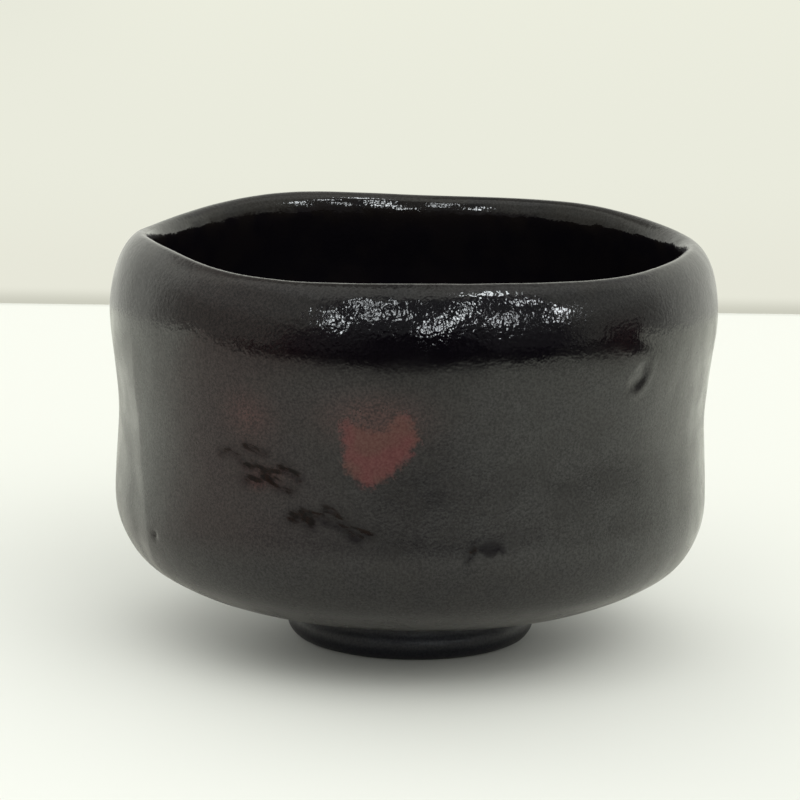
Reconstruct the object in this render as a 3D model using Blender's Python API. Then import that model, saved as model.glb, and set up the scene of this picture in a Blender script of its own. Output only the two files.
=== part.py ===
"""A black raku matcha bowl, modelled the way it is made.

A hand-pinched clay body stands on a luted foot ring, under a coat of glaze. The coat is
split where its pours meet, at the crest of the lip and at the joint of the foot.
Each piece is a section turned about +Z and then pushed out of round by hand_form, which
moves all pieces alike, so that pieces that touch keep an even gap.

Frame: the origin is the centre of the foot's resting face, +Z is up and -Y is the front.
Units are metres.
"""

import math

import bmesh
import bpy
import numpy as np

MM = 0.001

# Driving dimensions of the outside
HEIGHT = 79.9 * MM  # resting face to the mean crest of the lip
LIP_RADIUS = 54.7 * MM  # to the crest
SHOULDER_RADIUS = 60.2 * MM
SHOULDER_HEIGHT = 65.2 * MM
WAIST_RADIUS = 58.0 * MM
WAIST_HEIGHT = 44.7 * MM
BELLY_RADIUS = 58.6 * MM
BELLY_HEIGHT = 35.0 * MM
HIP_RADIUS = 55.0 * MM  # where the wall turns under
HIP_HEIGHT = 18.5 * MM

# Driving dimensions of the inside
MOUTH_RADIUS = 52.3 * MM  # the narrowest, just inside the lip
WALL = 5.7 * MM  # shoulder and waist, glaze included
FLOOR_HEIGHT = 14.8 * MM  # resting face to the floor inside
POOL_RADIUS = 20.0 * MM  # the shallow hollow where the last of the tea gathers
POOL_DEPTH = 1.4 * MM

# Driving dimensions of the foot
FOOT_HEIGHT = 7.85 * MM
FOOT_TOP_RADIUS = 24.3 * MM
FOOT_BASE_RADIUS = 24.5 * MM
FOOT_RING_WIDTH = 7.9 * MM
FOOT_OUTER_EDGE = 3.0 * MM  # how far the ring's outer edge is rounded
FOOT_INNER_EDGE = 1.1 * MM
FOOT_WAIST = 0.9 * MM  # how far the ring draws in just under the body
FOOT_WAIST_HEIGHT = 5.9 * MM
WELL_DEPTH = 6.3 * MM
WELL_TAPER = 0.8 * MM  # the well is this much narrower at its top
WELL_FILLET = 1.6 * MM
WELL_NUB = 0.7 * MM  # the point left standing in the middle of the well

# Clay, glaze and the gap between neighbouring solids
GLAZE = 0.8 * MM
GAP = 0.3 * MM
SKIN = GLAZE + GAP
PAD_CHAMFER = 0.4 * MM

# How far the hands pushed the bowl out of round: (lobes in a turn, push, bearing of one lobe)
PLAN_LOBES = (
    (2, 0.60 * MM, 100),
    (3, 0.40 * MM, 22),
    (4, 0.30 * MM, 44),
    (5, 0.20 * MM, 20),
    (6, 0.35 * MM, 8),
)
PLAN_GROWTH = 1.5  # the lobes grow from nothing at the foot as this power of the height
RIM_WAVES = (
    (1, 1.20 * MM, 113),
    (2, 0.25 * MM, 75),
    (3, 0.25 * MM, -38),
    (4, 0.35 * MM, 26),
    (5, 0.50 * MM, -19),
)
RIM_WAVE_START = 0.45  # share of the height where the rim's waves begin
GRIP_PUSH = 0.70 * MM  # two flats low on the body, where it was gripped
GRIP_BEARING = 128
GRIP_HEIGHT = 0.35  # share of the height
GRIP_SPREAD = 0.25
LEAN = 0.20 * MM  # the lip's offset towards +X
BOW = -0.60 * MM  # the waist's offset towards +X
ROUND_CORE = 20 * MM  # inside this radius nothing is pushed
PUSH_FADE = 40 * MM  # the pushes grow to full over this much radius outside the core

# Fineness of the solids
MERIDIANS = 48
OUTSIDE_RINGS = 18
INSIDE_RINGS = 16
WELL_RINGS = 10
FOOT_RINGS = 8
TURN_WEIGHT = 9 * MM  # a radian of turning counts as this much length
FINE_STEPS = 1500
ARC_STEPS = 60
SHARP_ANGLE = math.radians(50)


def clear_scene():
    for old in list(bpy.data.objects):
        bpy.data.objects.remove(old, do_unlink=True)


def smooth_curve(points):
    """A fine cubic through the points; its slope at each is set by the neighbours."""
    knots = np.array(points)
    span_lengths = np.linalg.norm(np.diff(knots, axis=0), axis=1)
    at_knot = np.concatenate([[0.0], np.cumsum(span_lengths)])
    slopes = np.gradient(knots, at_knot, axis=0)
    along = np.linspace(0.0, at_knot[-1], FINE_STEPS)
    span = np.searchsorted(at_knot, along, side="right") - 1
    span = np.clip(span, 0, len(span_lengths) - 1)
    length = span_lengths[span][:, None]
    u = (along - at_knot[span])[:, None] / length
    start = knots[span] * (2 * u**3 - 3 * u**2 + 1) + slopes[span] * length * (u**3 - 2 * u**2 + u)
    end = knots[span + 1] * (3 * u**2 - 2 * u**3) + slopes[span + 1] * length * (u**3 - u**2)
    return start + end


def rings_along(curve, count):
    """(points, normals) at count places along a fine curve, closer together where it turns.

    The normals point out of the clay, to the right of the way the curve runs."""
    steps = np.diff(curve, axis=0)
    heading = np.unwrap(np.arctan2(steps[:, 1], steps[:, 0]))
    effort = np.hypot(*steps.T) + TURN_WEIGHT * np.abs(np.gradient(heading))
    effort = np.concatenate([[0.0], np.cumsum(effort)])
    middle = np.concatenate([[0.0], (effort[1:] + effort[:-1]) / 2])
    heading = np.concatenate([[heading[0]], heading])
    places = np.linspace(0.0, effort[-1], count)
    points = np.column_stack([np.interp(places, effort, curve[:, k]) for k in (0, 1)])
    at_place = np.interp(places, middle, heading)
    normals = np.column_stack([np.sin(at_place), -np.cos(at_place)])
    return points, normals


def inset(section, depth):
    """The section's points, moved into the clay by depth; a point on the axis stays on it."""
    points, normals = section
    moved = points - normals * depth
    moved[points[:, 0] < GAP, 0] = 0.0
    return moved


def drawn_back(points, distance):
    """The same points with the last one moved back towards its neighbour."""
    drawn = points.copy()
    last = points[-2] - points[-1]
    drawn[-1] += last / np.linalg.norm(last) * distance
    return drawn


def outside_outline():
    """From the foot joint, under the body and up the wall to the shoulder of the lip."""
    return [
        (FOOT_TOP_RADIUS + GAP, FOOT_HEIGHT + GAP),
        (32.7 * MM, 9.3 * MM),
        (45.8 * MM, 12.6 * MM),
        (HIP_RADIUS, HIP_HEIGHT),
        (BELLY_RADIUS - 0.1 * MM, 26.3 * MM),
        (BELLY_RADIUS, BELLY_HEIGHT),
        (WAIST_RADIUS, WAIST_HEIGHT),
        (SHOULDER_RADIUS - 1.2 * MM, 55.4 * MM),
        (SHOULDER_RADIUS, SHOULDER_HEIGHT),
        (SHOULDER_RADIUS - 0.9 * MM, 72.9 * MM),
        (LIP_RADIUS + 3.2 * MM, HEIGHT - 3.2 * MM),
        (LIP_RADIUS + 1.6 * MM, HEIGHT - 1.0 * MM),
    ]


def inside_outline():
    """From the lip's inner edge, down the inside of the wall, over the floor to its centre."""
    pool_height = FLOOR_HEIGHT - POOL_DEPTH
    return [
        (LIP_RADIUS - 1.6 * MM, HEIGHT - 0.9 * MM),
        (MOUTH_RADIUS, HEIGHT - 3.5 * MM),
        (MOUTH_RADIUS + 0.5 * MM, HEIGHT - 8.5 * MM),
        (SHOULDER_RADIUS - WALL, SHOULDER_HEIGHT - 2 * MM),
        (WAIST_RADIUS - WALL + 0.8 * MM, WAIST_HEIGHT + 7 * MM),
        (WAIST_RADIUS - WALL, WAIST_HEIGHT - 3 * MM),
        (50.3 * MM, 29.0 * MM),
        (46.0 * MM, 22.0 * MM),
        (38.0 * MM, 17.4 * MM),
        (28.0 * MM, FLOOR_HEIGHT + 0.4 * MM),
        (POOL_RADIUS + 1.5 * MM, FLOOR_HEIGHT),
        (POOL_RADIUS - 2.5 * MM, pool_height + 0.35 * MM),
        (POOL_RADIUS / 2, pool_height),
        (0.0, pool_height),
    ]


def body_sections():
    """(outside, inside): the sections of the body's two faces, which meet at the lip's crest."""
    curve = smooth_curve(outside_outline() + [(LIP_RADIUS, HEIGHT)] + inside_outline())
    crest = int(np.argmax(curve[:, 1]))
    outside = rings_along(curve[: crest + 1], OUTSIDE_RINGS)
    inside = rings_along(curve[crest:], INSIDE_RINGS)
    outside[1][-1] = (0.0, 1.0)
    inside[1][0] = (0.0, 1.0)
    inside[1][-1] = (0.0, 1.0)
    return outside, inside


def arc(centre, radius, start, end):
    """Points on a circle's arc between two angles in degrees."""
    angles = np.radians(np.linspace(start, end, ARC_STEPS))
    return np.array(centre) + radius * np.column_stack([np.cos(angles), np.sin(angles)])


def foot_section():
    """From the middle of the well, over the resting face, up to the foot joint."""
    well_base_radius = FOOT_BASE_RADIUS - FOOT_RING_WIDTH
    fillet_radius = well_base_radius - WELL_TAPER - WELL_FILLET
    fillet_height = WELL_DEPTH - WELL_FILLET
    ceiling = smooth_curve(
        [
            (0.0, WELL_DEPTH - WELL_NUB),
            (0.3 * fillet_radius, WELL_DEPTH - 0.1 * WELL_NUB),
            (0.8 * fillet_radius, WELL_DEPTH),
        ]
    )
    fillet = arc((fillet_radius, fillet_height), WELL_FILLET, 90, 0)
    inner_centre = (well_base_radius + FOOT_INNER_EDGE, FOOT_INNER_EDGE)
    inner_edge = arc(inner_centre, FOOT_INNER_EDGE, 180, 270)
    outer_centre = (FOOT_BASE_RADIUS - FOOT_OUTER_EDGE, FOOT_OUTER_EDGE)
    outer_edge = arc(outer_centre, FOOT_OUTER_EDGE, 270, 360)
    wall = smooth_curve(
        [
            outer_edge[-1],
            (FOOT_BASE_RADIUS - 0.25 * MM, FOOT_OUTER_EDGE + 1.1 * MM),
            (FOOT_TOP_RADIUS - FOOT_WAIST, FOOT_WAIST_HEIGHT),
            (FOOT_TOP_RADIUS, FOOT_HEIGHT),
        ]
    )
    well_side = rings_along(np.vstack([ceiling, fillet, inner_edge]), WELL_RINGS)
    outer_side = rings_along(np.vstack([outer_edge, wall[1:]]), FOOT_RINGS)
    return tuple(np.vstack(pair) for pair in zip(well_side, outer_side))


def lobes(waves, bearing):
    return sum(push * math.cos(count * (bearing - math.radians(at))) for count, push, at in waves)


def smooth_step(share):
    share = min(max(share, 0.0), 1.0)
    return share * share * (3 - 2 * share)


def hand_form(bm):
    """Pushes a turned solid out of round and gives the rim its waves."""
    for vert in bm.verts:
        radius = math.hypot(vert.co.x, vert.co.y)
        bearing = math.atan2(vert.co.y, vert.co.x)
        share = max(vert.co.z, 0.0) / HEIGHT
        grip = math.exp(-(((share - GRIP_HEIGHT) / GRIP_SPREAD) ** 2))
        push = share**PLAN_GROWTH * lobes(PLAN_LOBES, bearing)
        push += grip * lobes(((2, GRIP_PUSH, GRIP_BEARING),), bearing)
        push += (LEAN * share + BOW * 4 * share * (1 - share)) * math.cos(bearing)
        push *= smooth_step((radius - ROUND_CORE) / PUSH_FADE)
        rise = smooth_step((share - RIM_WAVE_START) / (1 - RIM_WAVE_START))
        vert.co.x += push * math.cos(bearing)
        vert.co.y += push * math.sin(bearing)
        vert.co.z += rise * lobes(RIM_WAVES, bearing)


def turned_solid(name, outline, material):
    """One solid: an outline of (radius, height) turned about +Z, then hand formed.

    An outline that starts and ends on the axis is left open there; any other is closed."""
    bm = bmesh.new()
    corners = [bm.verts.new((radius, 0.0, height)) for radius, height in outline]
    on_axis = outline[0][0] == 0.0 and outline[-1][0] == 0.0
    neighbours = corners[1:] if on_axis else corners[1:] + corners[:1]
    sides = [bm.edges.new(pair) for pair in zip(corners, neighbours)]
    bmesh.ops.spin(
        bm,
        geom=corners + sides,
        cent=(0, 0, 0),
        axis=(0, 0, 1),
        angle=2 * math.pi,
        steps=MERIDIANS,
    )
    bmesh.ops.remove_doubles(bm, verts=bm.verts, dist=0.001 * MM)
    hand_form(bm)
    bmesh.ops.recalc_face_normals(bm, faces=bm.faces)
    mesh = bpy.data.meshes.new(name)
    bm.to_mesh(mesh)
    bm.free()
    mesh.shade_smooth()
    mesh.set_sharp_from_angle(angle=SHARP_ANGLE)
    mesh.materials.append(material)
    solid = bpy.data.objects.new(name, mesh)
    bpy.context.scene.collection.objects.link(solid)
    return solid


def principled(name, color, roughness, coat=0.0):
    material = bpy.data.materials.new(name)
    material.use_nodes = True
    shader = material.node_tree.nodes["Principled BSDF"]
    shader.inputs["Base Color"].default_value = (*color, 1.0)
    shader.inputs["Roughness"].default_value = roughness
    shader.inputs["Metallic"].default_value = 0.0
    shader.inputs["Coat Weight"].default_value = coat
    return material


def clay_body(outside, inside, material):
    """The pinched wall and floor, with a low round pad under it that the foot ring is luted to."""
    pad_radius = FOOT_TOP_RADIUS - SKIN
    pad_height = WELL_DEPTH + SKIN
    outer = inset(outside, SKIN)
    pad = [
        (0.0, pad_height),
        (pad_radius - PAD_CHAMFER, pad_height),
        (pad_radius, pad_height + PAD_CHAMFER),
        (pad_radius, outer[0][1] - PAD_CHAMFER),
    ]
    inner = inset(inside, SKIN)
    return turned_solid("clay_body", np.vstack([pad, outer, inner[1:]]), material)


def foot_ring(foot, material):
    """The clay ring inside the foot's coat, from the resting side up to the pad."""
    ring_top = WELL_DEPTH + GLAZE
    well_top_radius = FOOT_BASE_RADIUS - FOOT_RING_WIDTH - WELL_TAPER
    core = inset(foot, SKIN)
    outer_side = core[:, 0] > FOOT_BASE_RADIUS - FOOT_RING_WIDTH / 2
    limit = np.where(outer_side, FOOT_WAIST_HEIGHT, WELL_DEPTH - WELL_FILLET)
    in_ring = (core[:, 0] > well_top_radius + SKIN) & (core[:, 1] < limit)
    tops = [
        (FOOT_TOP_RADIUS - FOOT_WAIST - SKIN - GAP, ring_top),
        (well_top_radius + SKIN + GAP, ring_top),
    ]
    return turned_solid("foot_ring", np.vstack([tops, core[in_ring]]), material)


def glaze_coat(name, section, material, from_end=0.0):
    """A coat of even thickness over a section, its end drawn back to clear its neighbour."""
    face = drawn_back(section[0], from_end)
    back = drawn_back(inset(section, GLAZE), from_end)
    return turned_solid(name, np.vstack([face, back[::-1]]), material)


def build():
    clear_scene()
    clay = principled("raku_clay", (0.42, 0.29, 0.20), 0.9)
    glaze = principled("black_glaze", (0.010, 0.010, 0.011), 0.22, coat=0.3)
    outside, inside = body_sections()
    foot = foot_section()
    clay_body(outside, inside, clay)
    foot_ring(foot, clay)
    from_floor = (inside[0][::-1], inside[1][::-1])
    glaze_coat("outer_glaze", outside, glaze, from_end=GAP / 2)
    glaze_coat("inner_glaze", from_floor, glaze, from_end=GAP / 2)
    glaze_coat("foot_glaze", foot, glaze)


build()
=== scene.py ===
"""Looks of a black raku matcha bowl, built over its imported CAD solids.

The CAD glaze coats give the form. Each is rebuilt here as a finer closed skin that carries the
marks of the hand and the kiln, in a glaze that follows those marks. The clay keeps its solids.
Lengths are in millimetres until a mesh is made, and bearings are degrees from +X about +Z.
"""

import itertools
import math

import bpy
import numpy as np
from mathutils import Matrix, Vector


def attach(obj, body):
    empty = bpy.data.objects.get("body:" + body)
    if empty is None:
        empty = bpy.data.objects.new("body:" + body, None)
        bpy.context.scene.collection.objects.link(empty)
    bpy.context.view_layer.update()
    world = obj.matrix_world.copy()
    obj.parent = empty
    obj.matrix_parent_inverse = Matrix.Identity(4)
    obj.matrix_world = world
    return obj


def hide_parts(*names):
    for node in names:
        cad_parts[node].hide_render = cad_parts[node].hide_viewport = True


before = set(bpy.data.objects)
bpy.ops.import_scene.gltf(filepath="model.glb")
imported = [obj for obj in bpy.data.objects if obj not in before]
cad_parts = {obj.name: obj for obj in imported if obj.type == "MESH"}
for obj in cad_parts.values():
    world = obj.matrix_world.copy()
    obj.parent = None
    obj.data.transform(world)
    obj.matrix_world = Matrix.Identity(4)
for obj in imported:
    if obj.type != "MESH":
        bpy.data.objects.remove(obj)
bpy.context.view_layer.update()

MM = 0.001

# The CAD solids have a section at each of these meridians
MERIDIANS = 48
MERIDIAN_STEP = 360 / MERIDIANS

# Fineness of the skins
COLUMNS = 576  # halved where a ring gets short
BACK_COLUMNS = 72  # the hidden side
FINEST = 0.35  # a ring's columns are halved below this spacing
FRONT_BEARING = 265
FRONT_DENSITY = 0.35  # how much closer together the columns are at the front


# ---------------------------------------------------------------- reading the CAD sections


def welded(node):
    """(places, pairs): a node's distinct points, and which of them its edges join."""
    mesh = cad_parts[node].data
    places = np.array([vertex.co for vertex in mesh.vertices], float) / MM
    keys = np.round(places * 1000).astype(int)
    _, first, merged = np.unique(keys, axis=0, return_index=True, return_inverse=True)
    merged = merged.reshape(-1)
    pairs = {(merged[a], merged[b]) for a, b in (edge.vertices for edge in mesh.edges)}
    return places[first], pairs


def sections(node, first_point):
    """The node's closed outline at each meridian: (meridian, point, [radius, height]).

    An outline starts where first_point says and runs along the glaze's outer face first."""
    places, pairs = welded(node)
    radius = np.hypot(places[:, 0], places[:, 1])
    bearing = np.degrees(np.arctan2(places[:, 1], places[:, 0]))
    meridian = np.round(bearing / MERIDIAN_STEP).astype(int) % MERIDIANS
    on_axis = set(np.flatnonzero(radius < 0.01).tolist())
    joined = {k: set() for k in range(len(places))}
    for a, b in pairs:
        joined[a].add(b)
        joined[b].add(a)
    outlines = []
    for k in range(MERIDIANS):
        members = set(np.flatnonzero(meridian == k).tolist()) | on_axis
        beside = {n: joined[n] & members for n in members}
        walk = [first_point(places, sorted(on_axis or members))]
        while len(walk) < len(members):
            here, left = places[walk[-1]], members.difference(walk)
            ahead = beside[walk[-1]] & left
            if ahead:
                walk.append(max(ahead, key=lambda n: np.linalg.norm(places[n] - here)))
            else:  # a flat ring's edges don't follow the meridian, so the walk crosses it
                ends = [n for n in left if len(beside[n]) < 2]
                walk.append(min(ends, key=lambda n: np.linalg.norm(places[n] - here)))
        outlines.append([(radius[n], places[n, 2]) for n in walk])
    most = max(len(outline) for outline in outlines)
    typical = np.mean([outline for outline in outlines if len(outline) == most], axis=0)
    return np.array([outline if len(outline) == most else typical for outline in outlines])


def lowest(places, members):
    return min(members, key=lambda n: places[n, 2])


def highest(places, members):
    return max(members, key=lambda n: places[n, 2])


def faces_of(outlines):
    """(face, back): the outlines' shown half and hidden half, each from its start."""
    half = outlines.shape[1] // 2
    return outlines[:, :half], outlines[:, half:]


# ---------------------------------------------------------------- smooth surfaces through them


def spline(knots, values, where):
    """A natural cubic spline through values, whose first axis follows knots, read at where."""
    gaps = np.diff(knots)
    system = np.eye(len(knots))
    rises = np.zeros(values.shape)
    for k in range(1, len(knots) - 1):
        system[k, k - 1 : k + 2] = gaps[k - 1], 2 * (gaps[k - 1] + gaps[k]), gaps[k]
        rises[k] = 6 * (
            (values[k + 1] - values[k]) / gaps[k] - (values[k] - values[k - 1]) / gaps[k - 1]
        )
    bends = np.linalg.solve(system, rises.reshape(len(knots), -1)).reshape(values.shape)
    span = np.clip(np.searchsorted(knots, where, side="right") - 1, 0, len(gaps) - 1)
    spread = (-1,) + (1,) * (values.ndim - 1)
    gap = gaps[span].reshape(spread)
    left = (knots[span + 1] - where).reshape(spread) / gap
    right = 1 - left
    bent = (left**3 - left) * bends[span] + (right**3 - right) * bends[span + 1]
    return left * values[span] + right * values[span + 1] + bent * gap**2 / 6


def column_bearings(count):
    """Bearings of the columns, closer together round the front."""
    turn = np.linspace(0, 360, 7201)
    swell = FRONT_DENSITY * np.degrees(np.sin(np.radians(turn - FRONT_BEARING)))
    share = turn + swell - swell[0]
    return np.interp(np.arange(count) * 360 / count, share, turn)


def around_turn(bearings):
    """Weights that carry values at the meridians smoothly to these bearings."""
    apart = np.radians(bearings[:, None] - np.arange(MERIDIANS) * MERIDIAN_STEP)
    on_it = np.abs(np.sin(apart / 2)) < 1e-9
    half = np.where(on_it, 1.0, apart / 2)
    weights = np.sin(MERIDIANS * half) / (MERIDIANS * np.tan(half))
    return np.where(on_it, 1.0, weights)


def length_along(outlines):
    """Mean length from the start to each point of the outlines."""
    steps = np.linalg.norm(np.diff(outlines, axis=1), axis=2).mean(axis=0)
    return np.concatenate([[0.0], np.cumsum(steps)])


def ring_places(start, end, spacing):
    """Ring places from start to end, whose spacing follows (place, spacing) pairs."""
    fine = np.linspace(start, end, 4000)
    wanted = np.interp(fine, [at for at, _ in spacing], [gap for _, gap in spacing])
    rings = np.concatenate([[0.0], np.cumsum(np.diff(fine) / wanted[1:])])
    return np.interp(np.linspace(0, rings[-1], round(rings[-1]) + 1), rings, fine)


def ring_at(ring, bearings):
    """Points of one ring of (radius, height) per meridian, at these bearings."""
    radius, height = (around_turn(bearings) @ ring).T
    angle = np.radians(bearings)
    return np.stack([radius * np.cos(angle), radius * np.sin(angle), height], axis=-1)


def surface(outlines, lengths, places, bearings):
    """Points (column, ring, xyz) of the smooth surface through the outlines."""
    along = spline(lengths, np.moveaxis(outlines, 1, 0), places)
    along[..., 0] = np.maximum(along[..., 0], 0.0)
    return np.stack([ring_at(ring, bearings) for ring in along], axis=1)


def normals_of(points, at_axis):
    """Unit normals of a (column, ring, xyz) surface, pointing out of the clay."""
    across = np.roll(points, -1, axis=0) - np.roll(points, 1, axis=0)
    along = np.gradient(points, axis=1)
    normals = np.cross(across, along)
    size = np.linalg.norm(normals, axis=2, keepdims=True)
    normals = normals / np.where(size < 1e-9, 1.0, size)
    normals[size[..., 0] < 1e-9] = at_axis
    return normals


# ---------------------------------------------------------------- tools for relief


def noise(points, size, seed):
    """Smooth noise about 0, mostly within 1, over cells of this size."""
    table = np.random.default_rng(seed).normal(size=(32, 32, 32, 3))
    table /= np.linalg.norm(table, axis=3, keepdims=True)
    cells = points / size
    base = np.floor(cells).astype(int)
    part = cells - base
    fade = part**3 * (part * (part * 6 - 15) + 10)
    total = np.zeros(points.shape[:-1])
    for corner in itertools.product((0, 1), repeat=3):
        slope = table[tuple(np.moveaxis((base + corner) % 32, -1, 0))]
        weight = np.where(corner, fade, 1 - fade).prod(axis=-1)
        total += weight * ((part - corner) * slope).sum(axis=-1)
    return 1.7 * total


def ramp(value, start, end):
    """0 at start, 1 at end, eased."""
    share = np.clip((value - start) / (end - start), 0.0, 1.0)
    return share * share * (3 - 2 * share)


def bump(value, width):
    return np.exp(-((value / width) ** 2))


def bearing_from(bearing, at):
    """Degrees from a bearing, -180 to 180."""
    return (bearing - at + 180) % 360 - 180


WALL_RADIUS = 58.5  # marks on the wall are laid out on a cylinder this wide


def laid_out(marks):
    """(bearing, height) marks as (distance round the wall, height)."""
    return [(math.radians(bearing) * WALL_RADIUS, height) for bearing, height in marks]


def distance_to(around, height, marks):
    """Distance from each place on the wall to a line through the marks."""
    path = laid_out(marks)
    nearest = np.full(around.shape, 1e3)
    for (a0, h0), (a1, h1) in zip(path, path[1:]):
        run, rise = a1 - a0, h1 - h0
        share = ((around - a0) * run + (height - h0) * rise) / (run**2 + rise**2)
        share = np.clip(share, 0.0, 1.0)
        apart = np.hypot(around - a0 - share * run, height - h0 - share * rise)
        nearest = np.minimum(nearest, apart)
    return nearest


def depth_inside(around, height, marks):
    """Distance to the outline through the marks, positive inside it."""
    path = laid_out(marks)
    inside = np.zeros(around.shape, bool)
    for (a0, h0), (a1, h1) in zip(path, path[1:] + path[:1]):
        crosses = (h0 > height) != (h1 > height)
        at = a0 + (height - h0) * (a1 - a0) / (h1 - h0 + 1e-9)
        inside ^= crosses & (around < at)
    apart = distance_to(around, height, marks + marks[:1])
    return np.where(inside, apart, -apart)


# ---------------------------------------------------------------- marks on the bowl

# Outlines and lines below are (bearing, height) on the wall
RED_PATCH = [
    (257.3, 53.4),
    (258.5, 54.5),
    (261.8, 53.0),
    (265.2, 53.0),
    (267.0, 55.5),
    (268.5, 56.0),
    (269.7, 55.0),
    (270.9, 51.5),
    (269.5, 48.5),
    (266.5, 44.8),
    (262.5, 42.5),
    (261.0, 42.7),
    (258.0, 45.8),
    (258.0, 51.0),
]
# (line, half width) of the places where the glaze crawled and ran back together
CRAWLS = [
    ([(233.3, 46.0), (235.5, 46.9), (237.2, 46.0), (238.8, 44.7)], 0.30),
    ([(238.8, 44.7), (241.1, 44.4), (243.2, 43.8), (244.9, 44.1), (246.5, 45.1)], 0.65),
    ([(246.5, 45.1), (247.8, 44.3), (249.4, 43.1)], 0.55),
    ([(238.9, 48.1), (240.8, 47.6), (242.9, 47.1)], 0.40),
    ([(238.8, 41.7), (240.1, 42.1), (242.0, 42.1), (243.2, 42.8), (244.5, 42.6)], 0.80),
    ([(243.2, 43.6), (244.1, 42.2), (245.1, 41.6), (246.5, 41.2), (247.9, 40.9)], 0.60),
    ([(248.4, 36.0), (249.8, 36.5), (250.9, 35.9), (251.7, 35.2)], 0.95),
    ([(251.7, 36.5), (253.2, 36.8), (254.1, 36.3)], 0.55),
    ([(254.4, 37.8), (255.7, 37.7), (256.7, 36.9), (257.4, 36.0)], 0.40),
    ([(254.7, 35.7), (255.8, 35.7), (257.3, 35.1), (258.5, 34.6), (259.6, 33.6), (260.6, 33.3)], 0.60),
    ([(258.2, 35.7), (260.3, 34.6), (263.0, 33.8)], 0.30),
    ([(281.2, 31.0), (280.7, 30.4), (280.0, 29.0)], 0.15),
]
# A dark cap where a chip of glaze sank in
CAP = [
    (281.1, 31.0),
    (281.9, 31.9),
    (283.2, 32.6),
    (284.6, 32.7),
    (285.9, 32.3),
    (286.6, 31.3),
    (287.0, 30.0),
    (286.1, 29.7),
    (285.6, 30.4),
    (284.7, 29.5),
    (283.4, 29.4),
    (282.5, 30.4),
]
PIT = (313.4, 60.8)
PIT_LEAN = 48  # degrees from level to the pit's long axis
PINHOLE = (213.3, 26.6)
PINHOLE_SIZE = 0.55
# The soft edge down the left of the wall, as bearings at these heights
RIDGE_HEIGHTS = (20.0, 26.0, 31.5, 40.0, 52.0, 64.0)
RIDGE_BEARINGS = (208.5, 210.2, 209.4, 206.7, 205.8, 206.5)


def outside_relief(points, bearing, height):
    """How far the hand and the kiln moved the outside, outwards."""
    around = np.radians(bearing) * WALL_RADIUS
    hand = 0.16 * noise(points, 23, 1) + 0.05 * noise(points, 10, 2) + 0.02 * noise(points, 4.3, 3)
    front = bump(bearing_from(bearing, 270), 66)
    fill = front * (0.48 * bump(height - 46, 6.5) - 0.28 * bump(height - 33, 6.5))
    fill -= 0.12 * bump(bearing_from(bearing, 267), 14) * ramp(height, 54, 63)
    ridge = np.interp(height, RIDGE_HEIGHTS, RIDGE_BEARINGS)
    aside = np.radians(bearing_from(bearing, ridge)) * WALL_RADIUS
    high = ramp(height, 35, 46) * (1 - ramp(height, 57, 66))
    low = ramp(height, 15, 23) * (1 - ramp(height, 35, 46))
    off_crest = np.hypot(aside, 0.6)
    facet = high * 0.40 * np.exp(-off_crest / np.where(aside < 0, 3.6, 14.0))
    facet += low * (0.24 * np.exp(-off_crest / np.where(aside < 0, 2.4, 7.0)) - 0.10 * bump(aside + 5.0, 3.0))
    facet -= 0.25 * bump(bearing_from(bearing, 200), 9) * bump(height - 43, 9)
    ripples = 0.05 * noise(points, 6.0, 4) + 0.022 * noise(points, 2.9, 5) + 0.009 * noise(points, 1.6, 8)
    facing = 0.1 + 0.9 * bump(bearing_from(bearing, 270), 46)
    lumps = ramp(height, 60.5, 68) * facing * ripples
    return hand + fill + facet + lumps + wall_marks(points, around, height)


def wall_marks(points, around, height):
    """The pit, the cap, the crawls and the pinhole."""
    a0, h0 = laid_out([PIT])[0]
    lean = math.radians(PIT_LEAN)
    along = (around - a0) * math.cos(lean) + (height - h0) * math.sin(lean)
    across = (around - a0) * math.sin(lean) - (height - h0) * math.cos(lean)
    reach = np.hypot(along / 3.5, across / 2.7)
    hollow = ramp(across + 0.12 * along**2, -2.8, 1.2) * (1 - ramp(reach, 0.45, 1.0))
    marks = -0.40 * hollow + 0.07 * ramp(across, 0.0, 1.5) * bump(reach - 1.2, 0.25)
    marks += 0.06 * bump(reach, 0.8) * noise(points, 1.1, 6)
    cap = depth_inside(around, height, CAP)
    marks += 0.02 * bump(cap, 0.6) - 0.035 * ramp(cap, -0.3, 1.3)
    for line, width in CRAWLS:
        edge = distance_to(around, height, line) + 0.25 * noise(points, 1.7, 7)
        marks -= 0.08 * bump(edge, 1.3 * width)
    return marks - 0.3 * bump(from_pinhole(around, height), 1.6 * PINHOLE_SIZE)


def from_pinhole(around, height):
    """Distance on the wall to the pinhole."""
    at, at_height = laid_out([PINHOLE])[0]
    return np.hypot(around - at, height - at_height)


def inside_relief(points, height):
    """Finger waves down the wall and a ragged roll of glaze just under the lip."""
    waves = 0.22 * noise(points * (1, 1, 0.5), 19, 11) + 0.05 * noise(points, 6.5, 12)
    roll = bump(height - 76.5 - 0.9 * noise(points, 7, 13), 1.6)
    return waves + roll * (0.12 + 0.12 * noise(points, 3.6, 14))


def foot_relief(points, bearing, height):
    """Marks of trimming the foot: fine steps on its side and a spiral in the well."""
    radius = np.hypot(points[..., 0], points[..., 1])
    side = ramp(radius, 22.0, 23.4)
    steps = side * (0.015 * np.sin(height * 3.4 + 0.6 * noise(points, 9, 21)) + 0.06 * noise(points, 6, 22))
    turn = radius * 2.1 + np.radians(bearing)
    well = (1 - ramp(radius, 11.5, 14.5)) * ramp(radius, 0.5, 2.5)
    waist = 0.3 * side * bump(height - 5.7, 1.3)
    return steps + waist + well * (0.09 * np.sin(turn) + 0.05 * noise(points, 4, 23))


# ---------------------------------------------------------------- closed skins

MARK_NAMES = ("shine", "peel", "thin", "red", "blush_and_painted_tint", "crawl", "shade", "bare", "dull", "painted_band_shade")


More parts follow.
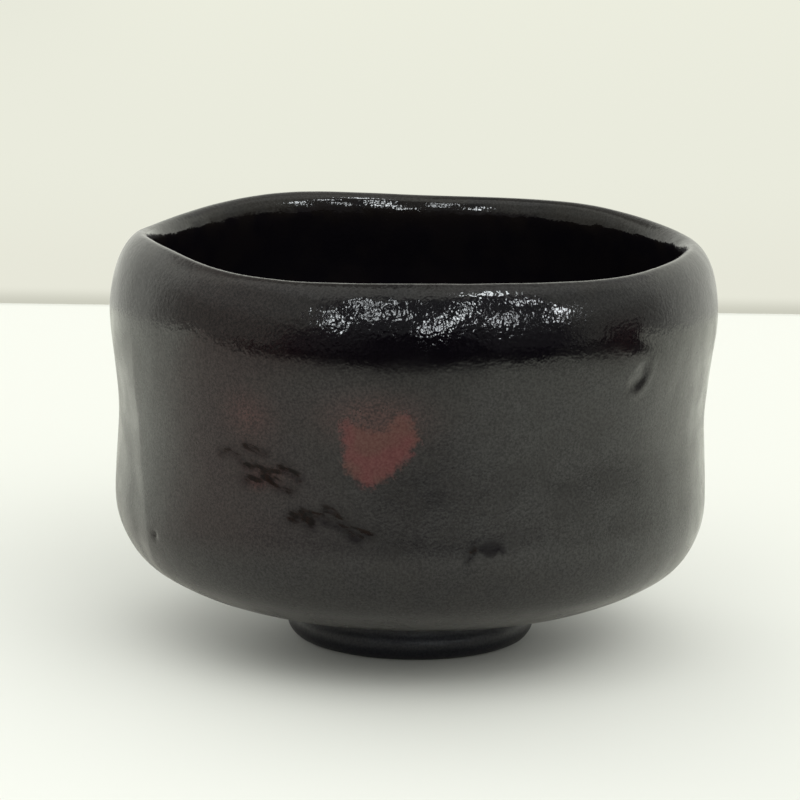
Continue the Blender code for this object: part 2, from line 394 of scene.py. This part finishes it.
class Shell:
    """A closed mesh, built ring by ring along its outline."""

    def __init__(self):
        self.places = []
        self.normals = []
        self.marks = []
        self.faces = []
        self.starts = []

    def add(self, points, normals=None, marks=None):
        """Adds a ring of points, or one point on the axis, and joins it to the ring before."""
        self.starts.append(sum(len(part) for part in self.places))
        self.places.append(points)
        self.normals.append(np.zeros(points.shape) if normals is None else normals)
        self.marks.append(marks or {name: np.zeros(len(points)) for name in MARK_NAMES})
        if len(self.places) > 1:
            self.bridge(-2, -1)

    def bridge(self, near, far):
        a, na = self.starts[near], len(self.places[near])
        b, nb = self.starts[far], len(self.places[far])
        for j in range(min(na, nb) if min(na, nb) > 1 else max(na, nb)):
            a0, a1 = a + j, a + (j + 1) % na
            b0, b1 = b + j, b + (j + 1) % nb
            if na == 1:
                self.faces.append((a, b1, b0))
            elif nb == 1:
                self.faces.append((a0, a1, b))
            elif na == nb:
                self.faces.append((a0, a1, b1, b0))
            elif na > nb:
                a0, a1, a2 = a + 2 * j, a + 2 * j + 1, a + (2 * j + 2) % na
                self.faces += [(a0, a1, b0), (a1, b1, b0), (a1, a2, b1)]
            else:
                b0, b1, b2 = b + 2 * j, b + 2 * j + 1, b + (2 * j + 2) % nb
                self.faces += [(a0, b1, b0), (a0, a1, b1), (a1, b2, b1)]

    def close(self):
        self.bridge(-1, 0)


def column_counts(points):
    """How many columns each ring keeps: half as many again wherever they would crowd."""
    counts = []
    for ring in np.moveaxis(points, 1, 0):
        around = np.linalg.norm(np.roll(ring, -1, axis=0) - ring, axis=1).sum()
        count = COLUMNS
        while around / count < FINEST and count > 9:
            count //= 2
        counts.append(count if around > 1e-6 else 1)
    order = list(range(1, len(counts)))
    for k, beside in [(k, k - 1) for k in order] + [(k - 1, k) for k in reversed(order)]:
        if counts[beside] > 1:
            counts[k] = min(counts[k], 2 * counts[beside])
    return counts


def add_face(shell, points, normals, marks):
    """Adds the shown rings of a surface."""
    for k, count in enumerate(column_counts(points)):
        kept = slice(0, 1) if count == 1 else slice(0, None, COLUMNS // count)
        shell.add(points[kept, k], normals[kept, k], {n: v[kept, k] for n, v in marks.items()})


def add_back(shell, back, bearings):
    """Adds the hidden rings, stepping down to their coarser columns on the way."""
    goal = ring_at(back[:, 0], bearings)
    while len(shell.places[-1]) > BACK_COLUMNS:
        last = shell.places[-1][::2]
        shell.add(last + (goal[:: COLUMNS // len(last)] - last) * 0.4)
    columns = bearings[:: COLUMNS // BACK_COLUMNS]
    for k in range(back.shape[1]):
        ring = ring_at(back[:, k], columns)
        shell.add(ring[:1] if np.hypot(*ring[0, :2]) < 0.01 else ring)


def close_round(shell):
    """Steps back up to the first ring's columns and joins up with it."""
    first = shell.places[0]
    while len(shell.places[-1]) < len(first):
        last = shell.places[-1]
        spread = np.repeat(last, 2, axis=0)
        spread[1::2] = (last + np.roll(last, -1, axis=0)) / 2
        shell.add(spread + (first[:: len(first) // len(spread)] - spread) * 0.4)
    shell.close()


def mesh_piece(name, shell, material, node, turned_over=False):
    """The object made from a shell, riding on the bowl in place of its CAD node."""
    mesh = bpy.data.meshes.new(name)
    faces = [face[::-1] for face in shell.faces] if turned_over else shell.faces
    mesh.from_pydata((np.vstack(shell.places) * MM).tolist(), [], faces)
    mesh.shade_smooth()
    for mark in MARK_NAMES:
        values = np.concatenate([marks[mark] for marks in shell.marks])
        layer = mesh.attributes.new(mark, "FLOAT", "POINT")
        layer.data.foreach_set("value", values.astype(np.float32))
    mesh.normals_split_custom_set_from_vertices(np.vstack(shell.normals).tolist())
    mesh.materials.append(material)
    piece = bpy.data.objects.new(name, mesh)
    bpy.context.scene.collection.objects.link(piece)
    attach(piece, "root")
    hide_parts(node)
    return piece


# ---------------------------------------------------------------- where the glaze differs


def wall_glaze(points, bearing, height, outside):
    """The glaze's marks on the body: outside is 1 on the outer face and 0 inside."""
    around = np.radians(bearing) * WALL_RADIUS
    radius = np.hypot(points[..., 0], points[..., 1])
    marks = {name: np.zeros(points.shape[:-1]) for name in MARK_NAMES}
    marks["bare"] -= 9.0
    shoulder = ramp(height + 1.6 * noise(points, 9, 31), 62.5, 70.0)
    facing = 0.3 + 0.7 * bump(bearing_from(bearing, 270) / 48.0, 1.0)
    marks["shine"] = np.where(outside > 0, shoulder * facing, 1.0)
    # Painted shade: the glaze is made darker on the front of the shoulder, deepening the mirrored dark band there
    marks["painted_band_shade"] = np.where(outside > 0, ramp(height, 57.0, 66.0) * facing, 0.0)
    marks["peel"] = np.where(outside > 0, 0.25 + 0.75 * shoulder * facing, 0.55)
    lip = ramp(height, 76.0, 79.5) * 0.5 + 0.5 * ramp(height, 72.0, 78.5) * (1 - outside)
    marks["thin"] = np.clip(lip + 0.25 * noise(points, 5, 32), 0, 1) * ramp(height, 71.0, 76.0)
    red = depth_inside(around, height, RED_PATCH)
    marks["red"] = np.where(outside > 0, red, -9.0)
    above = bump(bearing_from(bearing, 263.2) / 8.0, 1.0) * bump((height - 54.9) / 4.2, 1.0)
    left = bump(bearing_from(bearing, 239.8) / 4.5, 1.0) * bump((height - 53.8) / 4.4, 1.0)
    left += 0.8 * bump(bearing_from(bearing, 241.2) / 1.6, 1.0) * bump((height - 41.2) / 1.2, 1.0)
    left += 0.6 * bump(bearing_from(bearing, 243.5) / 4.0, 1.0) * bump((height - 43.0) / 1.9, 1.0)
    # Painted reflection: a faint warm tint where the mirrored dark band shows brown lumps; the other terms are the
    # glaze's own faint red
    lumps = bump(bearing_from(bearing, 309.5) / 5.0, 1.0) * bump((height - 68.0) / 4.0, 1.0)
    lumps += 0.5 * bump(bearing_from(bearing, 245.0) / 5.5, 1.0) * bump((height - 68.0) / 4.0, 1.0)
    warm = 0.16 * bump(bearing_from(bearing, 232.0) / 17.0, 1.0) * ramp(height, 22.0, 35.0)
    marks["blush_and_painted_tint"] = np.where(outside > 0, np.clip(1.1 * above + 0.75 * left + 0.12 * lumps + warm, 0, 1), 0.0)
    crawl = np.full(around.shape, -9.0)
    shade = 0.85 * ramp(depth_inside(around, height, CAP), -0.35, 0.45)
    for line, width in CRAWLS:
        apart = distance_to(around, height, line)
        crawl = np.maximum(crawl, width - apart)
        shade = np.maximum(shade, 0.6 * bump(apart, 0.9 + width))
    marks["shade"] = np.where((outside > 0) & (radius > 40), shade, 0.0)
    crawl = np.maximum(crawl, PINHOLE_SIZE - from_pinhole(around, height))
    marks["crawl"] = np.where((outside > 0) & (radius > 40), crawl, -9.0)
    return marks


JOINT_LAP = 0.22  # the foot's glaze runs up this far to meet the body's
SPURS = (48, 171, 286)  # bearings of the three props the bowl stood on in the kiln


def foot_marks(points, bearing, height):
    radius = np.hypot(points[..., 0], points[..., 1])
    marks = {name: np.zeros(points.shape[:-1]) for name in MARK_NAMES}
    marks["dull"] += 1.0
    marks["peel"] += 0.4
    marks["red"] -= 9.0
    marks["crawl"] -= 9.0
    bare = np.full(radius.shape, -9.0)
    for at in SPURS:
        apart = np.hypot(np.radians(bearing_from(bearing, at)) * 19.6, (radius - 19.6) * 1.3)
        bare = np.maximum(bare, 1.5 - apart - 2 * np.maximum(height - 0.4, 0))
    marks["bare"] = bare
    return marks


# ---------------------------------------------------------------- building the three skins


def body_skins(glaze):
    """The outer and the inner glaze, made as one surface and parted at the lip's crest."""
    outer_face, outer_back = faces_of(sections("outer_glaze", lowest))
    inner_face, inner_back = faces_of(sections("inner_glaze", highest))
    outline = np.concatenate([outer_face, inner_face[:, ::-1]], axis=1)
    lengths = length_along(outline)
    crest = lengths[outer_face.shape[1] - 1 : outer_face.shape[1] + 1].mean()
    spacing = [
        (0.0, 1.25),
        (18.0, 1.0),
        (30.0, 0.57),
        (crest - 12.0, 0.5),
        (crest - 3.0, 0.26),
        (crest + 3.0, 0.28),
        (crest + 12.0, 0.6),
        (crest + 45.0, 0.9),
        (lengths[-1], 1.1),
    ]
    outer_rings = ring_places(0.0, crest, spacing)
    inner_rings = ring_places(crest, lengths[-1], spacing)
    places = np.concatenate([outer_rings, inner_rings[1:]])
    bearings = column_bearings(COLUMNS)
    points = surface(outline, lengths, places, bearings)
    height = points[..., 2]
    bearing = np.broadcast_to(bearings[:, None], height.shape)
    outside = ramp(crest - places, -1.2, 1.2)
    push = outside * outside_relief(points, bearing, height)
    push += (1 - outside) * inside_relief(points, height)
    push *= ramp(places, 0.0, 3.0) * ramp(lengths[-1] - places, 0.3, 6.0)
    shaped = points + normals_of(points, (0.0, 0.0, 1.0)) * push[..., None]
    normals = normals_of(shaped, (0.0, 0.0, 1.0))
    marks = wall_glaze(points, bearing, height, outside)
    cut = len(outer_rings)
    outer = Shell()
    add_face(outer, shaped[:, :cut], normals[:, :cut], {n: v[:, :cut] for n, v in marks.items()})
    add_back(outer, outer_back, bearings)
    close_round(outer)
    mesh_piece("outer_glaze_skin", outer, glaze, "outer_glaze")
    inner = Shell()
    from_floor = slice(None, cut - 2, -1)
    add_face(
        inner,
        shaped[:, from_floor],
        normals[:, from_floor],
        {n: v[:, from_floor] for n, v in marks.items()},
    )
    add_back(inner, inner_back, bearings)
    mesh_piece("inner_glaze_skin", inner, glaze, "inner_glaze", turned_over=True)


def foot_skin(glaze):
    face, back = faces_of(sections("foot_glaze", lowest))
    lengths = length_along(face)
    places = ring_places(0.0, lengths[-1], [(0.0, 0.4), (lengths[-1], 0.4)])
    bearings = column_bearings(COLUMNS)
    points = surface(face, lengths, places, bearings)
    height = points[..., 2]
    bearing = np.broadcast_to(bearings[:, None], height.shape)
    push = foot_relief(points, bearing, height) * ramp(lengths[-1] - places, 0.0, 1.0)
    shaped = points + normals_of(points, (0.0, 0.0, -1.0)) * push[..., None]
    shaped[..., 2] += JOINT_LAP * ramp(lengths[-1] - places, 1.2, 0.0)
    shaped[..., 2] = np.maximum(shaped[..., 2], 0.0)
    shell = Shell()
    normals = normals_of(shaped, (0.0, 0.0, -1.0))
    add_face(shell, shaped, normals, foot_marks(points, bearing, height))
    add_back(shell, back, bearings)
    mesh_piece("foot_glaze_skin", shell, glaze, "foot_glaze")


# ---------------------------------------------------------------- materials


def link_or_set(tree, socket, value):
    if isinstance(value, bpy.types.NodeSocket):
        tree.links.new(value, socket)
    elif isinstance(value, tuple) and len(value) == 3 and socket.type == "RGBA":
        socket.default_value = (*value, 1.0)
    else:
        socket.default_value = value


def node(tree, kind, inputs=None, **settings):
    """Adds a node; inputs are by name or place, and each is a value or another node's output."""
    made = tree.nodes.new(kind)
    for name, value in settings.items():
        setattr(made, name, value)
    for key, value in (inputs or {}).items():
        link_or_set(tree, made.inputs[key], value)
    return made


def calc(tree, operation, *values):
    inputs = dict(enumerate(values))
    return node(tree, "ShaderNodeMath", inputs, operation=operation).outputs[0]


def between(tree, value, start, end, low=0.0, high=1.0):
    """low where value is at start, high at end, eased and held beyond them."""
    inputs = {"Value": value, "From Min": start, "From Max": end, "To Min": low, "To Max": high}
    made = node(tree, "ShaderNodeMapRange", inputs, interpolation_type="SMOOTHSTEP")
    return made.outputs["Result"]


def mixed(tree, share, first, second):
    made = node(tree, "ShaderNodeMix", {0: share, 6: first, 7: second}, data_type="RGBA")
    return made.outputs[2]


def grain(tree, place, size, detail=0.0, roughness=0.5):
    """Noise 0 to 1 with cells of this size in mm."""
    inputs = {"Vector": place, "Scale": 1 / size, "Detail": detail, "Roughness": roughness}
    return node(tree, "ShaderNodeTexNoise", inputs).outputs["Fac"]


def mark(tree, name):
    return node(tree, "ShaderNodeAttribute", attribute_name=name).outputs["Fac"]


def in_mm(tree):
    place = node(tree, "ShaderNodeTexCoord").outputs["Object"]
    return node(tree, "ShaderNodeVectorMath", {0: place, "Scale": 1000.0}, operation="SCALE").outputs[0]


def new_material(name):
    material = bpy.data.materials.new(name)
    material.use_nodes = True
    tree = material.node_tree
    tree.nodes.clear()
    return material, tree


STRAND_LIE = math.radians(22)  # the crawled glaze's strands run down to the right


def glaze_material():
    """Raku black: glassy where it ran thick, satin on the wall, brown where it drew thin."""
    material, tree = new_material("black_raku_glaze")
    place = in_mm(tree)
    fine = grain(tree, place, 1.1, 1.0)
    coarse = grain(tree, place, 7.0, 2.0)
    speckle = grain(tree, place, 0.45, 2.0, 0.7)
    fray = calc(tree, "ADD", between(tree, fine, 0.25, 0.75, -0.5, 0.5), between(tree, speckle, 0.3, 0.7, -0.3, 0.3))
    red = between(tree, calc(tree, "ADD", mark(tree, "red"), fray), -1.1, 1.1)
    red_share = calc(tree, "MULTIPLY", red, between(tree, speckle, 0.25, 0.6, 0.78, 1.0))
    blush_lift = calc(tree, "MULTIPLY", mark(tree, "blush_and_painted_tint"), between(tree, speckle, 0.3, 0.65, 0.15, 1.0))
    blush_and_painted_tint = calc(tree, "MULTIPLY", blush_lift, 0.9)
    lie = {"Vector": place, "Rotation": (0.0, STRAND_LIE, 0.0), "Scale": (1.0, 1.0, 0.3)}
    combed = node(tree, "ShaderNodeMapping", lie, vector_type="TEXTURE").outputs[0]
    strand = between(tree, grain(tree, combed, 2.8, 2.0), 0.3, 0.7, -0.6, 0.6)
    crawl = between(tree, calc(tree, "ADD", mark(tree, "crawl"), strand), -0.25, 0.6, 0.0, 0.95)
    thin = calc(tree, "MULTIPLY", mark(tree, "thin"), between(tree, coarse, 0.35, 0.6, 0.35, 1.0))
    bare_edge = calc(tree, "ADD", mark(tree, "bare"), between(tree, fine, 0.3, 0.7, -0.4, 0.4))
    bare = between(tree, bare_edge, -0.1, 0.15)
    black = mixed(tree, between(tree, coarse, 0.35, 0.65), (0.0036, 0.0030, 0.0044), (0.0052, 0.0042, 0.0050))
    # Painted shade: darker black where the shoulder mirrors the dark band
    black = mixed(tree, mark(tree, "painted_band_shade"), black, (0.0016, 0.0012, 0.0020))
    colour = mixed(tree, thin, black, (0.0085, 0.0068, 0.0056))
    colour = mixed(tree, mark(tree, "dull"), colour, (0.0034, 0.0038, 0.0085))
    colour = mixed(tree, blush_and_painted_tint, colour, (0.046, 0.015, 0.013))
    rust = mixed(tree, between(tree, coarse, 0.4, 0.6), (0.076, 0.014, 0.014), (0.066, 0.019, 0.014))
    colour = mixed(tree, red_share, colour, rust)
    sunk = mixed(tree, between(tree, fine, 0.4, 0.6), (0.0070, 0.0032, 0.0022), (0.0030, 0.0020, 0.0018))
    colour = mixed(tree, crawl, colour, sunk)
    colour = mixed(tree, bare, colour, (0.30, 0.20, 0.13))
    satin = between(tree, coarse, 0.3, 0.7, 0.20, 0.30)
    glassy = between(tree, coarse, 0.3, 0.7, 0.05, 0.09)
    shine = mark(tree, "shine")
    rough = node(tree, "ShaderNodeMix", {0: shine, 2: satin, 3: glassy}, data_type="FLOAT").outputs[0]
    rough = node(tree, "ShaderNodeMix", {0: red, 2: rough, 3: 0.36}, data_type="FLOAT").outputs[0]
    rough = node(tree, "ShaderNodeMix", {0: crawl, 2: rough, 3: 0.25}, data_type="FLOAT").outputs[0]
    rough = node(tree, "ShaderNodeMix", {0: mark(tree, "dull"), 2: rough, 3: 0.42}, data_type="FLOAT").outputs[0]
    rough = node(tree, "ShaderNodeMix", {0: bare, 2: rough, 3: 0.85}, data_type="FLOAT").outputs[0]
    peel = node(
        tree,
        "ShaderNodeBump",
        {"Strength": mark(tree, "peel"), "Distance": 0.000075, "Height": grain(tree, place, 0.9, 1.0)},
    ).outputs[0]
    skin = node(
        tree,
        "ShaderNodeBump",
        {"Strength": 0.6, "Distance": 0.000012, "Height": speckle, "Normal": peel},
    ).outputs[0]
    sheen = between(tree, speckle, 0.3, 0.7, 0.37, 0.63)
    sheen = node(tree, "ShaderNodeMix", {0: mark(tree, "shade"), 2: sheen, 3: 0.15}, data_type="FLOAT").outputs[0]
    sheen = node(tree, "ShaderNodeMix", {0: crawl, 2: sheen, 3: 0.12}, data_type="FLOAT").outputs[0]
    shader = node(
        tree,
        "ShaderNodeBsdfPrincipled",
        {"Base Color": colour, "Roughness": rough, "IOR": 1.5, "Specular IOR Level": sheen, "Normal": skin},
    )
    node(tree, "ShaderNodeOutputMaterial", {"Surface": shader.outputs[0]})
    return material


def clay_material():
    """Coarse raku clay: warm buff with grog and iron specks."""
    material, tree = new_material("raku_clay_body")
    place = in_mm(tree)
    grog = grain(tree, place, 0.8, 3.0, 0.65)
    tone = mixed(tree, between(tree, grain(tree, place, 9.0, 2.0), 0.3, 0.7), (0.40, 0.27, 0.18), (0.50, 0.36, 0.25))
    iron = between(tree, grain(tree, place, 0.6, 1.0), 0.70, 0.76)
    colour = mixed(tree, iron, tone, (0.12, 0.05, 0.03))
    pores = node(tree, "ShaderNodeBump", {"Strength": 0.8, "Distance": 0.0002, "Height": grog}).outputs[0]
    inputs = {"Base Color": colour, "Roughness": between(tree, grog, 0.3, 0.7, 0.8, 0.95), "Normal": pores}
    shader = node(tree, "ShaderNodeBsdfPrincipled", inputs)
    node(tree, "ShaderNodeOutputMaterial", {"Surface": shader.outputs[0]})
    return material


# ---------------------------------------------------------------- stage, light and camera

WALL_Y = 0.39  # the backdrop behind the bowl
TABLE_EDGE = -0.35  # the table's near edge, which the glaze mirrors


def emission(tree, colour, strength=1.0):
    return node(tree, "ShaderNodeEmission", {"Color": colour, "Strength": strength}).outputs[0]


def blend_shaders(tree, share, first, second):
    return node(tree, "ShaderNodeMixShader", {0: share, 1: first, 2: second}).outputs[0]


def plane(name, corners, material):
    mesh = bpy.data.meshes.new(name)
    mesh.from_pydata(corners, [], [(0, 1, 2, 3)])
    mesh.materials.append(material)
    made = bpy.data.objects.new(name, mesh)
    bpy.context.scene.collection.objects.link(made)
    return made


def table_material():
    """White laminate. What the glaze mirrors of it ends at the table's near edge."""
    material, tree = new_material("white_table")
    place = node(tree, "ShaderNodeNewGeometry").outputs["Position"]
    axes = node(tree, "ShaderNodeSeparateXYZ", {0: place}).outputs
    # Painted shadow: a darker line along the table where it meets the backdrop
    painted_wall_shadow = between(tree, axes[1], WALL_Y - 0.006, WALL_Y - 0.001, 0.0, 0.24)
    # Painted light: the table is lighter towards the front and darker further back
    painted_falloff = mixed(tree, between(tree, axes[1], 0.12, -0.10), (0.750, 0.757, 0.70), (0.83, 0.84, 0.785))
    white = mixed(tree, painted_wall_shadow, painted_falloff, (0.38, 0.38, 0.33))
    rays = node(tree, "ShaderNodeLightPath").outputs
    bay = between(tree, calc(tree, "ABSOLUTE", axes[0]), 0.03, 0.13, -0.042, 0.0)
    beyond = between(tree, calc(tree, "ADD", axes[1], bay), TABLE_EDGE + 0.10, TABLE_EDGE - 0.01)
    right = calc(tree, "MULTIPLY", between(tree, axes[0], 0.31, 0.36), between(tree, axes[1], 0.08, 0.02))
    mirrored = calc(tree, "MULTIPLY", calc(tree, "MAXIMUM", beyond, right), rays["Is Glossy Ray"])
    # Painted light seen only in the glaze's reflection: the mirrored table is lighter to the right, shaded near the
    # front on the left, and evenly lit far to the right
    glare = between(tree, axes[0], -0.02, 0.12, 0.0, 1.0)
    lit = mixed(tree, glare, (0.755, 0.745, 0.665), (0.98, 0.99, 0.88))
    left = between(tree, axes[0], -0.05, -0.20)
    beside = mixed(tree, between(tree, axes[1], 0.05, -0.04), (0.93, 0.94, 0.84), (0.64, 0.58, 0.52))
    lit = mixed(tree, left, lit, beside)
    lit = mixed(tree, between(tree, axes[0], 0.14, 0.26), lit, (0.89, 0.90, 0.79))
    white = mixed(tree, rays["Is Glossy Ray"], white, lit)
    shader = node(tree, "ShaderNodeBsdfPrincipled", {"Base Color": white, "Roughness": 0.8, "Specular IOR Level": 0.0})
    dark = emission(tree, (0.012, 0.010, 0.012))
    surface_shader = blend_shaders(tree, mirrored, shader.outputs[0], dark)
    node(tree, "ShaderNodeOutputMaterial", {"Surface": surface_shader})
    return material


def wall_material():
    """The pale backdrop, seen only by the camera and only from the front."""
    material, tree = new_material("pale_backdrop")
    geometry = node(tree, "ShaderNodeNewGeometry").outputs
    axes = node(tree, "ShaderNodeSeparateXYZ", {0: geometry["Position"]}).outputs
    # Painted shadow: a dark line at the foot of the backdrop where it meets the table
    foot = between(tree, axes[2], 0.0, 0.006)
    colour = mixed(tree, foot, (0.60, 0.60, 0.51), (0.800, 0.800, 0.695))
    # Painted light: the glowing backdrop gets lighter higher up and a little darker to the upper left
    low = between(tree, axes[2], 0.004, 0.05)
    colour = mixed(tree, low, colour, (0.823, 0.831, 0.723))
    high = between(tree, axes[2], 0.05, 0.14)
    colour = mixed(tree, high, colour, (0.846, 0.855, 0.738))
    left = calc(tree, "MULTIPLY", between(tree, axes[0], -0.07, -0.14), high)
    colour = mixed(tree, left, colour, (0.780, 0.787, 0.690))
    seen = blend_shaders(
        tree,
        geometry["Backfacing"],
        emission(tree, colour),
        node(tree, "ShaderNodeBsdfTransparent").outputs[0],
    )
    node(tree, "ShaderNodeOutputMaterial", {"Surface": seen})
    return material


def stage():
    far = 3.0
    table_corners = [(-far, -far, 0), (far, -far, 0), (far, WALL_Y, 0), (-far, WALL_Y, 0)]
    plane("stage_table", table_corners, table_material())
    wall_corners = [(-1.2, WALL_Y, 0), (1.2, WALL_Y, 0), (1.2, WALL_Y, 1.2), (-1.2, WALL_Y, 1.2)]
    wall = plane("stage_wall", wall_corners, wall_material())
    for kind in ("diffuse", "glossy", "transmission", "shadow", "volume_scatter"):
        setattr(wall, f"visible_{kind}", False)


# (azimuth, half width, elevation, half height, strength) of the bright windows in front,
# azimuth 0 is towards -Y and grows towards +X
PANELS = [
    (-31, 1.5, 31, 2, 20.0),
    (-26, 2, 21, 3, 22.0),
    (-20, 2, 50, 3, 14.0),
    (-14, 2, 41, 4, 14.0),
    (-8, 2, 49, 3, 12.0),
    (-12, 2, 28, 2, 14.0),
    (-6, 1.5, 32, 4, 14.0),
    (8, 2, 15, 2, 20.0),
    (13, 2, 23, 3, 24.0),
    (18, 2, 34, 4, 20.0),
    (22, 2, 47, 4, 18.0),
    (29, 1.5, 19, 2, 20.0),
    (33, 1.5, 26, 2, 18.0),
    (42, 9, 66, 3, 20.0),
    (45, 2, 44, 4, 20.0),
    (50, 1.5, 19, 2, 24.0),
    (55, 3, 29, 3, 24.0),
]
# (azimuth, half width, elevation, half height, strength) of the soft lights
LAMPS = [(30, 30, 37, 12, 1.9), (150, 30, 21, 9, 2.6), (-150, 30, 21, 9, 4.6), (15, 75, 50, 15, 0.85)]


def window(tree, value, centre, half, soft=1.0):
    """1 within half of centre, softly edged."""
    apart = calc(tree, "ABSOLUTE", calc(tree, "SUBTRACT", value, float(centre)))
    return between(tree, apart, half + soft, half - soft)


def turned(tree, ray):
    """(azimuth, elevation) in degrees of a ray."""
    axes = node(tree, "ShaderNodeSeparateXYZ", {0: ray}).outputs
    elevation = calc(tree, "DEGREES", calc(tree, "ARCSINE", axes[2]))
    back = calc(tree, "MULTIPLY", axes[1], -1.0)
    return calc(tree, "DEGREES", calc(tree, "ARCTAN2", axes[0], back)), elevation


def soft_light(tree, azimuth, elevation):
    """Even light from all round, with more of it from the lamps."""
    strength = 0.76
    for at, half_width, height, half_height, more in LAMPS:
        across = window(tree, azimuth, at, half_width, 15.0)
        lit = calc(tree, "MULTIPLY", across, window(tree, elevation, height, half_height, 6.0))
        strength = calc(tree, "MULTIPLY_ADD", lit, float(more), strength)
    tint = node(tree, "ShaderNodeVectorMath", {0: (1.0, 1.01, 0.99), "Scale": strength}, operation="SCALE")
    return tint.outputs[0]


def mirrored_room(tree, azimuth, elevation):
    """What the glaze mirrors above the table: a pale room with a dark end and bright windows."""
    aside = calc(tree, "ABSOLUTE", azimuth)
    room = mixed(tree, between(tree, aside, 95, 140), (0.65, 0.66, 0.60), (0.96, 0.97, 0.87))
    room = mixed(tree, between(tree, azimuth, -98, -125), room, (0.94, 0.95, 0.86))
    low_side = calc(tree, "MULTIPLY", between(tree, aside, 125, 95), between(tree, elevation, 26, 10))
    room = mixed(tree, low_side, room, (0.43, 0.43, 0.38))
    high_back = calc(tree, "MULTIPLY", between(tree, aside, 115, 135), between(tree, elevation, 28, 40))
    room = mixed(tree, high_back, room, mixed(tree, between(tree, azimuth, -60, 60), (0.36, 0.36, 0.33), (0.64, 0.64, 0.60)))
    ceiling = calc(tree, "MULTIPLY", between(tree, aside, 130, 110), between(tree, elevation, 45, 62))
    room = mixed(tree, ceiling, room, (0.95, 0.96, 0.90))
    mid_end = calc(tree, "MULTIPLY", window(tree, azimuth, 10, 44, 12), between(tree, elevation, 66, 52))
    room = mixed(tree, mid_end, room, (0.19, 0.195, 0.20))
    low_end = calc(tree, "MULTIPLY", window(tree, azimuth, 2, 56, 7), between(tree, elevation, 15, 6))
    room = mixed(tree, low_end, room, (0.115, 0.11, 0.115))
    deep_end = calc(tree, "MULTIPLY", window(tree, azimuth, 4, 17, 12), between(tree, elevation, 14, 8))
    room = mixed(tree, deep_end, room, (0.018, 0.016, 0.020))
    right_end = calc(tree, "MULTIPLY", window(tree, azimuth, 85, 12, 3), between(tree, elevation, 9, 3))
    room = mixed(tree, right_end, room, (0.10, 0.09, 0.085))
    for at, half_width, height, half_height, strength in PANELS:
        across = window(tree, azimuth, at, half_width)
        lit = calc(tree, "MULTIPLY", across, window(tree, elevation, height, half_height))
        room = mixed(tree, lit, room, tuple(strength * part for part in (0.93, 0.98, 1.0)))
    return room


def room_world():
    """Soft even light for everything; the glaze mirrors a room instead."""
    world = bpy.data.worlds.new("soft_room")
    world.use_nodes = True
    tree = world.node_tree
    tree.nodes.clear()
    ray = node(tree, "ShaderNodeTexCoord").outputs["Generated"]
    azimuth, elevation = turned(tree, ray)
    rays = node(tree, "ShaderNodeLightPath").outputs
    direct = calc(tree, "LESS_THAN", rays["Diffuse Depth"], 0.5)
    mirrored = calc(tree, "MULTIPLY", rays["Is Glossy Ray"], direct)
    once = calc(tree, "LESS_THAN", rays["Glossy Depth"], 1.5)
    room = mixed(tree, once, (0.10, 0.10, 0.10), mirrored_room(tree, azimuth, elevation))
    light = mixed(tree, mirrored, soft_light(tree, azimuth, elevation), room)
    light = mixed(tree, rays["Is Camera Ray"], light, (0.846, 0.855, 0.738))
    background = node(tree, "ShaderNodeBackground", {"Color": light, "Strength": 1.0})
    node(tree, "ShaderNodeOutputWorld", {"Surface": background.outputs[0]})
    bpy.context.scene.world = world


CAMERA_PLACE = Vector((0.0, -0.6146, 0.1683))
CAMERA_PITCH = math.radians(11.163)
CAMERA_YAW = math.radians(-0.247)
CAMERA_ROLL = math.radians(0.755)
LENS = 142.44


def camera():
    data = bpy.data.cameras.new("camera")
    data.lens = LENS
    data.sensor_width = 36.0
    data.clip_start, data.clip_end = 0.01, 20.0
    ahead = Vector(
        (
            math.sin(CAMERA_YAW) * math.cos(CAMERA_PITCH),
            math.cos(CAMERA_YAW) * math.cos(CAMERA_PITCH),
            -math.sin(CAMERA_PITCH),
        )
    )
    level = Vector((math.cos(CAMERA_YAW), -math.sin(CAMERA_YAW), 0.0))
    above = level.cross(ahead)
    right = level * math.cos(CAMERA_ROLL) + above * math.sin(CAMERA_ROLL)
    up = above * math.cos(CAMERA_ROLL) - level * math.sin(CAMERA_ROLL)
    placed = Matrix((right, up, -ahead)).transposed().to_4x4()
    placed.translation = CAMERA_PLACE
    made = bpy.data.objects.new("camera", data)
    made.matrix_world = placed
    bpy.context.scene.collection.objects.link(made)
    bpy.context.scene.camera = made


def main():
    glaze = glaze_material()
    clay = clay_material()
    for name in ("clay_body", "foot_ring"):
        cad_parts[name].data.materials[0] = clay
    body_skins(glaze)
    foot_skin(glaze)
    stage()
    room_world()
    camera()
    bpy.context.scene.view_settings.view_transform = "Standard"


main()
